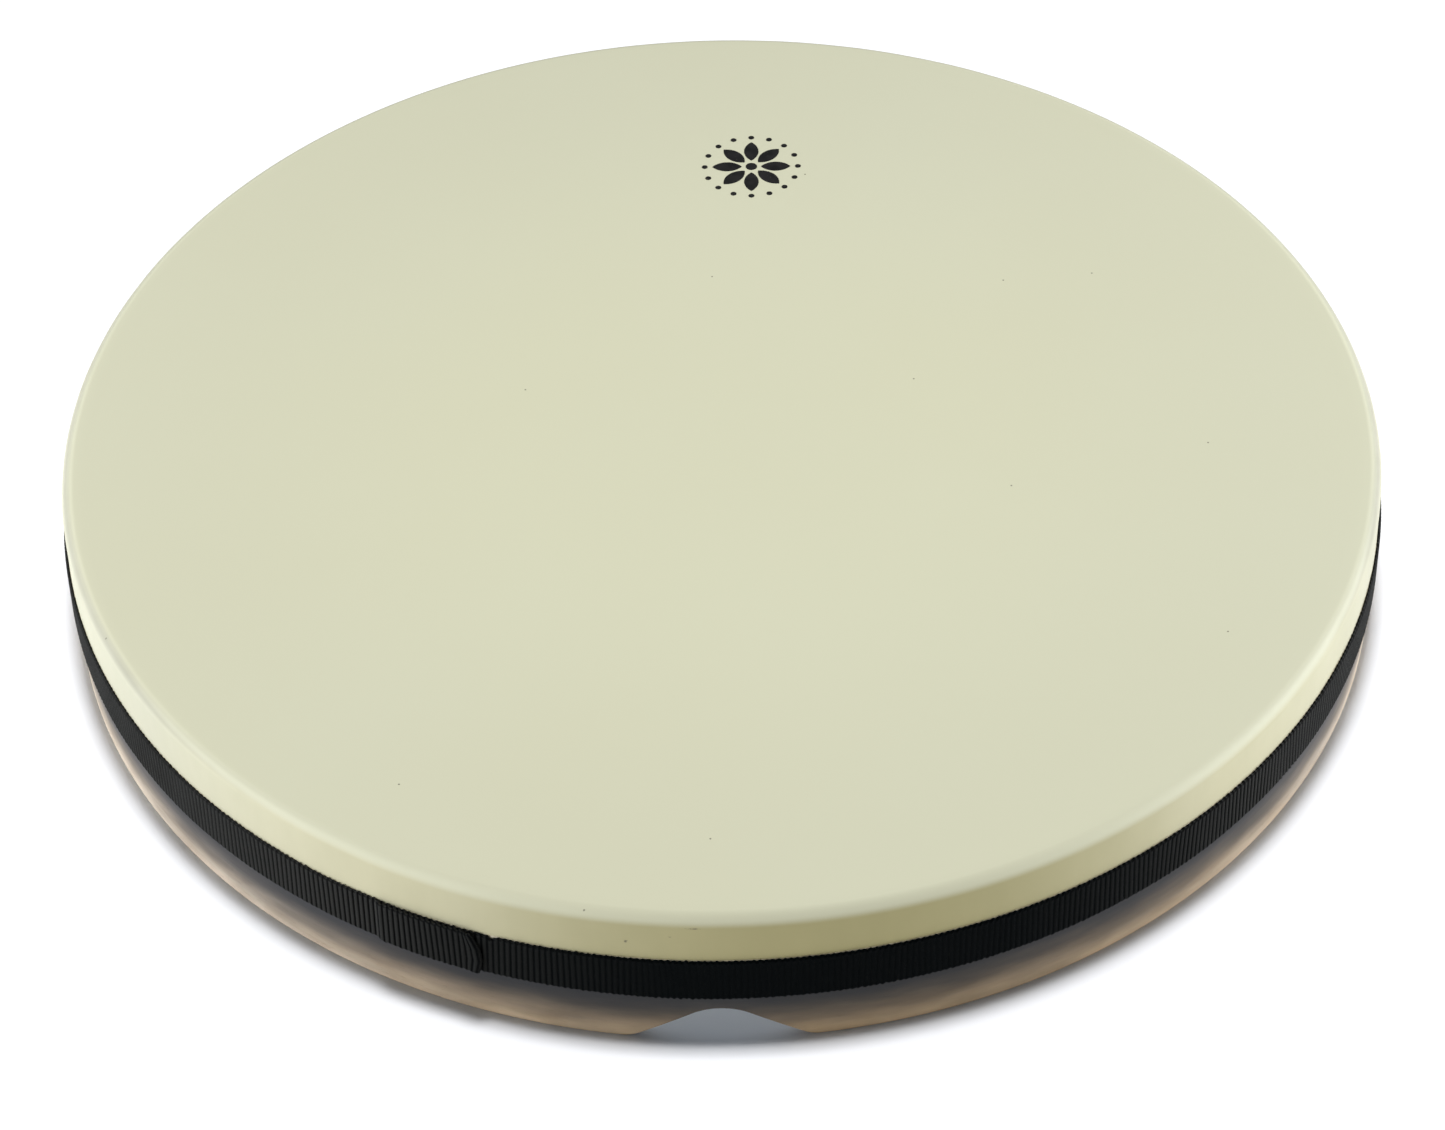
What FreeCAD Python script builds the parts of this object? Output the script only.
# Shallow frame drum: a bent plywood hoop, a moulded film head glued over it and a woven band.
#
# Millimetres and degrees, +Z up through the playing surface. The origin is the hoop's centre
# on the plane that its open edge rests on. The thumb notch faces -Y.
import FreeCAD
import Part
import Sketcher
import math
import os

SHEET = "Dimensions"

# Driving dimensions: lengths in millimetres, angles and bearings in degrees. A bearing is
# measured from +X towards +Y.
DIMENSIONS = {
    "shell_diameter": 558.8,
    "drum_height": 69.85,
    "face_ply": 0.9,
    "cross_ply": 1.3,
    "core_ply": 1.6,
    "seam_width": 0.2,
    "edge_radius": 4.7,
    "bevel_angle": 35.0,
    "foot_round": 0.6,
    "notch_height": 18.0,
    "notch_crown_radius": 22.0,
    "notch_flank_angle": 31.5,
    "notch_toe_radius": 14.0,
    "notch_toe_dip": 0.05,
    "tool_overshoot": 8.0,
    "film": 0.5,
    "head_glue": 0.25,
    "head_glue_high": 64.3,
    "skirt_low": 31.0,
    "band_low": 25.9,
    "band_width": 21.6,
    "band_thickness": 1.3,
    "band_glue": 0.15,
    "band_glue_margin": 0.5,
    "lap_bearing": 241.5,
    "lap_length": 45.0,
    "lap_ramp": 2.0,
    "ink": 0.05,
    "emblem_distance": 181.5,
    "emblem_bearing": 85.7,
    "hub_radius": 2.6,
    "petal_root": 4.3,
    "petal_tip": 17.8,
    "petal_half_width": 3.3,
    "dot_orbit": 21.2,
    "dot_radius": 1.35,
}

PETALS = 8
DOTS = 16


def cell(name):
    """Sheet expression for one driving dimension."""
    return f"{SHEET}.{name}"


# Radii and heights that follow from the driving dimensions, as sheet expressions.
OUTSIDE = f"({cell('shell_diameter')} / 2)"
SEAT = f"({cell('drum_height')} - {cell('film')})"
ROUND_RADIUS = f"({OUTSIDE} - {cell('edge_radius')})"
ROUND_LOW = f"({SEAT} - {cell('edge_radius')})"
SKIRT_IN = f"({OUTSIDE} + {cell('head_glue')})"
SKIRT_OUT = f"({SKIRT_IN} + {cell('film')})"
BAND_IN = f"({SKIRT_OUT} + {cell('band_glue')})"
BAND_OUT = f"({BAND_IN} + {cell('band_thickness')})"
BAND_HIGH = f"({cell('band_low')} + {cell('band_width')})"

doc = FreeCAD.newDocument("frame_drum")
sheet = doc.addObject("Spreadsheet::Sheet", SHEET)


def fill_sheet():
    """One driving dimension per row: its name, then its value under that alias."""
    for row, (name, value) in enumerate(DIMENSIONS.items(), start=1):
        sheet.set(f"A{row}", name)
        sheet.set(f"B{row}", str(value))
        sheet.setAlias(f"B{row}", name)
    doc.recompute()


def number(expression):
    """Present value of a sheet expression."""
    return float(sheet.evalExpression(expression))


def new_body(label):
    body = doc.addObject("PartDesign::Body", label)
    body.Label = label
    return body


def new_sketch(body, role, name, bearing="0"):
    """Sketch on one of the body's origin planes, turned about its vertical axis."""
    plane = next(f for f in body.Origin.OriginFeatures if f.Role == role)
    sketch = body.newObject("Sketcher::SketchObject", name)
    sketch.AttachmentSupport = [(plane, "")]
    sketch.MapMode = "FlatFace"
    if bearing != "0":
        turn = FreeCAD.Rotation(FreeCAD.Vector(0, 1, 0), number(bearing))
        sketch.AttachmentOffset = FreeCAD.Placement(FreeCAD.Vector(), turn)
        sketch.setExpression("AttachmentOffset.Rotation.Angle", bearing)
    return sketch


def bind(sketch, constraint, expression):
    index = sketch.addConstraint(constraint)
    sketch.setExpression(f"Constraints[{index}]", expression)


def pin(sketch, edge, end, x, y):
    """Fixes one end of an edge at sheet expressions x and y, or on an axis where one is 0."""
    for kind, axis, expression in (("DistanceX", -2, x), ("DistanceY", -1, y)):
        if expression == "0":
            sketch.addConstraint(Sketcher.Constraint("PointOnObject", edge, end, axis))
            continue
        value = number(expression)
        bind(sketch, Sketcher.Constraint(kind, -1, 1, edge, end, value), expression)


def arc_between(start, end, radius, turn):
    """Arc under half a circle from start to end, turning left (1) or right (-1)."""
    chord = end - start
    left = FreeCAD.Vector(-chord.y, chord.x, 0).normalize()
    rise = math.sqrt(radius**2 - (chord.Length / 2) ** 2)
    centre = (start + end) / 2 + left * rise * turn
    ends = (start, end) if turn > 0 else (end, start)
    angles = [math.atan2(p.y - centre.y, p.x - centre.x) for p in ends]
    return Part.ArcOfCircle(Part.Circle(centre, FreeCAD.Vector(0, 0, 1), radius), *angles)


def outline(sketch, corners):
    """Closed counterclockwise loop through corners of (x, y) or (x, y, radius, turn).

    A corner with a radius starts an arc to the next one; the others start straight edges.
    """
    places = [FreeCAD.Vector(number(c[0]), number(c[1]), 0) for c in corners]
    heads = []
    tails = []
    for i, corner in enumerate(corners):
        start, end = places[i], places[(i + 1) % len(places)]
        if len(corner) == 2:
            edge = sketch.addGeometry(Part.LineSegment(start, end))
            turn = 1
        else:
            radius, turn = corner[2:]
            edge = sketch.addGeometry(arc_between(start, end, number(radius), turn))
            bind(sketch, Sketcher.Constraint("Radius", edge, number(radius)), radius)
        heads.append((edge, 1 if turn > 0 else 2))
        tails.append((edge, 2 if turn > 0 else 1))
    for i, corner in enumerate(corners):
        sketch.addConstraint(Sketcher.Constraint("Coincident", *tails[i - 1], *heads[i]))
        pin(sketch, *heads[i], corner[0], corner[1])


def rectangle(sketch, left, low, right, high):
    outline(sketch, [(left, low), (right, low), (right, high), (left, high)])


def circle(sketch, x, radius):
    """Circle centred on the sketch's horizontal axis."""
    centre = FreeCAD.Vector(number(x), 0, 0)
    edge = sketch.addGeometry(Part.Circle(centre, FreeCAD.Vector(0, 0, 1), number(radius)))
    pin(sketch, edge, 3, x, "0")
    bind(sketch, Sketcher.Constraint("Radius", edge, number(radius)), radius)


def revolve(body, sketch, name, angle="360"):
    feature = body.newObject("PartDesign::Revolution", name)
    feature.Profile = sketch
    feature.ReferenceAxis = (sketch, ["V_Axis"])
    feature.Angle = number(angle)
    feature.setExpression("Angle", angle)
    return feature


def pad(body, sketch, name, length):
    feature = body.newObject("PartDesign::Pad", name)
    feature.Profile = sketch
    feature.Length = number(length)
    feature.setExpression("Length", length)
    return feature


def ring_pattern(body, feature, sketch, name, count):
    """Repeats a feature evenly round the sketch's normal through its origin."""
    pattern = body.newObject("PartDesign::PolarPattern", name)
    pattern.Originals = [feature]
    pattern.Axis = (sketch, ["N_Axis"])
    pattern.Angle = 360
    pattern.Occurrences = count
    body.Tip = pattern


def height_on_round(radius):
    """Height of the bearing edge's outer rounding at a radius."""
    reach = f"({radius} - {ROUND_RADIUS})"
    return f"({ROUND_LOW} + sqrt({cell('edge_radius')} ^ 2 - {reach} ^ 2))"


def height_on_bevel(radius, crest):
    """Height of the bearing edge's inner bevel, which falls away inwards from the crest."""
    return f"({SEAT} - ({crest} - {radius}) * tan({cell('bevel_angle')}))"


def ply_sections():
    """Label, seam bearing and section of each ply, from the outer face inwards.

    The section runs up the wall from the open edge to the bearing edge. The bearing edge is
    rounded outside its crest, which lies on the inner crossband, and bevelled inside it.
    """
    faces = [OUTSIDE]
    for thickness in ("face_ply", "cross_ply", "core_ply", "cross_ply", "face_ply"):
        faces.append(f"({faces[-1]} - {cell(thickness)})")
    outer, cross, core_out, core_in, crest, inner = faces
    foot = cell("foot_round")
    edge = cell("edge_radius")
    return [
        ("outer_face_ply", 74.0, [
            (cross, "0"),
            (f"({outer} - {foot})", "0", foot, 1),
            (outer, foot),
            (outer, ROUND_LOW, edge, 1),
            (cross, height_on_round(cross)),
        ]),
        ("outer_cross_ply", 128.0, [
            (core_out, "0"),
            (cross, "0"),
            (cross, height_on_round(cross), edge, 1),
            (core_out, height_on_round(core_out)),
        ]),
        ("core_ply", 12.0, [
            (core_in, "0"),
            (core_out, "0"),
            (core_out, height_on_round(core_out), edge, 1),
            (core_in, height_on_round(core_in)),
        ]),
        ("inner_cross_ply", 171.0, [
            (crest, "0"),
            (core_in, "0"),
            (core_in, height_on_round(core_in), edge, 1),
            (ROUND_RADIUS, SEAT),
            (crest, SEAT),
        ]),
        ("inner_face_ply", 106.0, [
            (inner, foot, foot, 1),
            (f"({inner} + {foot})", "0"),
            (crest, "0"),
            (crest, SEAT),
            (inner, height_on_bevel(inner, crest)),
        ]),
    ]


def cut_notch(body):
    """Thumb notch through the -Y wall: a round crown, straight flanks and rounded toes."""
    crown = cell("notch_crown_radius")
    toe = cell("notch_toe_radius")
    slope = cell("notch_flank_angle")
    low = f"(-{cell('tool_overshoot')})"
    crown_centre = f"({cell('notch_height')} - {crown})"
    crown_x = f"({crown} * sin({slope}))"
    crown_z = f"({crown_centre} + {crown} * cos({slope}))"
    # The toes are tangent to a plane just below the open edge, so that they cross it cleanly.
    toe_centre = f"({toe} - {cell('notch_toe_dip')})"
    toe_z = f"({toe_centre} - {toe} * cos({slope}))"
    toe_x = f"({crown_x} + ({crown_z} - {toe_z}) / tan({slope}))"
    toe_end = f"({toe_x} + {toe} * sin({slope}))"
    foot_z = f"(-{cell('notch_toe_dip')})"
    sketch = new_sketch(body, "XZ_Plane", f"{body.Label}_notch_outline")
    outline(sketch, [
        (f"(-{toe_end})", low),
        (toe_end, low),
        (toe_end, foot_z, toe, -1),
        (toe_x, toe_z),
        (crown_x, crown_z, crown, 1),
        (f"(-{crown_x})", crown_z),
        (f"(-{toe_x})", toe_z, toe, -1),
        (f"(-{toe_end})", foot_z),
    ])
    pocket = body.newObject("PartDesign::Pocket", f"{body.Label}_notch")
    pocket.Profile = sketch
    pocket.Type = "Length"
    reach = f"({OUTSIDE} + {cell('tool_overshoot')})"
    pocket.Length = number(reach)
    pocket.setExpression("Length", reach)
    pocket.Reversed = True


def make_plies():
    """Strips of wood wrapped round into the hoop, each with its own open butt seam."""
    bodies = []
    seam = f"({cell('seam_width')} / {OUTSIDE} * 180 / pi)"
    for label, bearing, section in ply_sections():
        body = new_body(label)
        sketch = new_sketch(body, "XZ_Plane", f"{label}_section", str(bearing))
        outline(sketch, section)
        strip = revolve(body, sketch, f"{label}_strip", f"(360 - {seam})")
        doc.recompute()
        whole = strip.Shape.Volume
        cut_notch(body)
        doc.recompute()
        removed = whole - body.Shape.Volume
        width = 2 * number(cell("notch_crown_radius"))
        thickness = whole / (math.pi * number(OUTSIDE) * 2 * number(SEAT))
        if removed < width * thickness * number(cell("notch_height")) / 2:
            raise RuntimeError(f"the notch missed {label}")
        bodies.append(body)
    return bodies


def make_drumhead():
    """Flat film whose rim turns down over the bearing edge as a skirt."""
    film = cell("film")
    inner_bend = f"({cell('edge_radius')} + {cell('head_glue')})"
    outer_bend = f"({inner_bend} + {film})"
    bend_low = f"({SEAT} - {inner_bend})"
    body = new_body("drumhead")
    sketch = new_sketch(body, "XZ_Plane", "drumhead_section")
    outline(sketch, [
        ("0", SEAT),
        (ROUND_RADIUS, SEAT, inner_bend, -1),
        (SKIRT_IN, bend_low),
        (SKIRT_IN, cell("skirt_low")),
        (SKIRT_OUT, cell("skirt_low")),
        (SKIRT_OUT, bend_low, outer_bend, 1),
        (ROUND_RADIUS, cell("drum_height")),
        ("0", cell("drum_height")),
    ])
    revolve(body, sketch, "drumhead_film")
    return body


def make_head_glue():
    """Adhesive between the hoop's outer face and the head's skirt."""
    body = new_body("head_glue_line")
    sketch = new_sketch(body, "XZ_Plane", "head_glue_section")
    rectangle(sketch, OUTSIDE, cell("skirt_low"), SKIRT_IN, cell("head_glue_high"))
    revolve(body, sketch, "head_glue_ring")
    return body


def make_band_glue():
    """Adhesive under the band, thick on the hoop below the skirt and thin on the skirt."""
    margin = cell("band_glue_margin")
    low = f"({cell('band_low')} + {margin})"
    high = f"({BAND_HIGH} - {margin})"
    body = new_body("band_glue_line")
    sketch = new_sketch(body, "XZ_Plane", "band_glue_section")
    outline(sketch, [
        (OUTSIDE, low),
        (BAND_IN, low),
        (BAND_IN, high),
        (SKIRT_OUT, high),
        (SKIRT_OUT, cell("skirt_low")),
        (OUTSIDE, cell("skirt_low")),
    ])
    revolve(body, sketch, "band_glue_ring")
    return body


def on_circle(radius, bearing):
    return f"({radius} * cos({bearing}))", f"({radius} * sin({bearing}))"


def make_edge_band():
    """Ribbon once round the hoop, its cut end climbing over its start and lapping it."""
    thickness = cell("band_thickness")
    body = new_body("edge_band")
    sketch = new_sketch(body, "XZ_Plane", "band_section")
    rectangle(sketch, BAND_IN, cell("band_low"), BAND_OUT, BAND_HIGH)
    revolve(body, sketch, "band_ring")

    # The lap is rooted halfway into the ring below it, so that the ribbon is one solid.
    root = f"({BAND_OUT} - {thickness} / 2)"
    top = f"({BAND_OUT} + {thickness})"
    start = cell("lap_bearing")
    degrees = f"(180 / pi / {BAND_OUT})"
    climbed = f"({start} + {cell('lap_ramp')} * {degrees})"
    end = f"({start} + {cell('lap_length')} * {degrees})"
    plan = new_sketch(body, "XY_Plane", "lap_plan")
    outline(plan, [
        on_circle(root, start),
        (*on_circle(top, climbed), top, 1),
        on_circle(top, end),
        (*on_circle(root, end), root, -1),
    ])
    plan.AttachmentOffset = FreeCAD.Placement(
        FreeCAD.Vector(0, 0, number(cell("band_low"))), FreeCAD.Rotation()
    )
    plan.setExpression("AttachmentOffset.Base.z", cell("band_low"))
    pad(body, plan, "lap", cell("band_width"))
    return body


def make_emblem():
    """Ink rosette on the film: a hub, lens-shaped petals and a ring of dots."""
    body = new_body("printed_emblem")
    body.AllowCompound = True
    ink = cell("ink")
    hub = new_sketch(body, "XY_Plane", "hub_outline")
    circle(hub, "0", cell("hub_radius"))
    pad(body, hub, "hub", ink)

    width = cell("petal_half_width")
    half_length = f"(({cell('petal_tip')} - {cell('petal_root')}) / 2)"
    flank = f"(({half_length} ^ 2 + {width} ^ 2) / (2 * {width}))"
    petal = new_sketch(body, "XY_Plane", "petal_outline")
    outline(petal, [
        (cell("petal_root"), "0", flank, 1),
        (cell("petal_tip"), "0", flank, 1),
    ])
    ring_pattern(body, pad(body, petal, "petal", ink), petal, "petals", PETALS)

    dot = new_sketch(body, "XY_Plane", "dot_outline")
    circle(dot, cell("dot_orbit"), cell("dot_radius"))
    ring_pattern(body, pad(body, dot, "dot", ink), dot, "dots", DOTS)

    x, y = on_circle(cell("emblem_distance"), cell("emblem_bearing"))
    high = cell("drum_height")
    body.Placement.Base = FreeCAD.Vector(number(x), number(y), number(high))
    for axis, expression in (("x", x), ("y", y), ("z", high)):
        body.setExpression(f"Placement.Base.{axis}", expression)
    return body


def write_parts(bodies):
    """Checks every object of the document, then writes each body's solid to its own file."""
    doc.recompute()
    for item in doc.Objects:
        if {"Invalid", "Error"} & set(item.State):
            raise RuntimeError(f"{item.Name} failed: {item.State}")
    for body in bodies:
        if body.Shape.isNull() or not body.Shape.isValid():
            raise RuntimeError(f"{body.Label} has no valid shape")
    os.makedirs("parts", exist_ok=True)
    for body in bodies:
        body.Shape.exportStep(f"parts/{body.Label}.step")
        solids = len(body.Shape.Solids)
        print(f"{body.Label}: {solids} solid(s), {body.Shape.Volume:.1f} mm3")


fill_sheet()
write_parts([
    *make_plies(),
    make_drumhead(),
    make_head_glue(),
    make_band_glue(),
    make_edge_band(),
    make_emblem(),
])
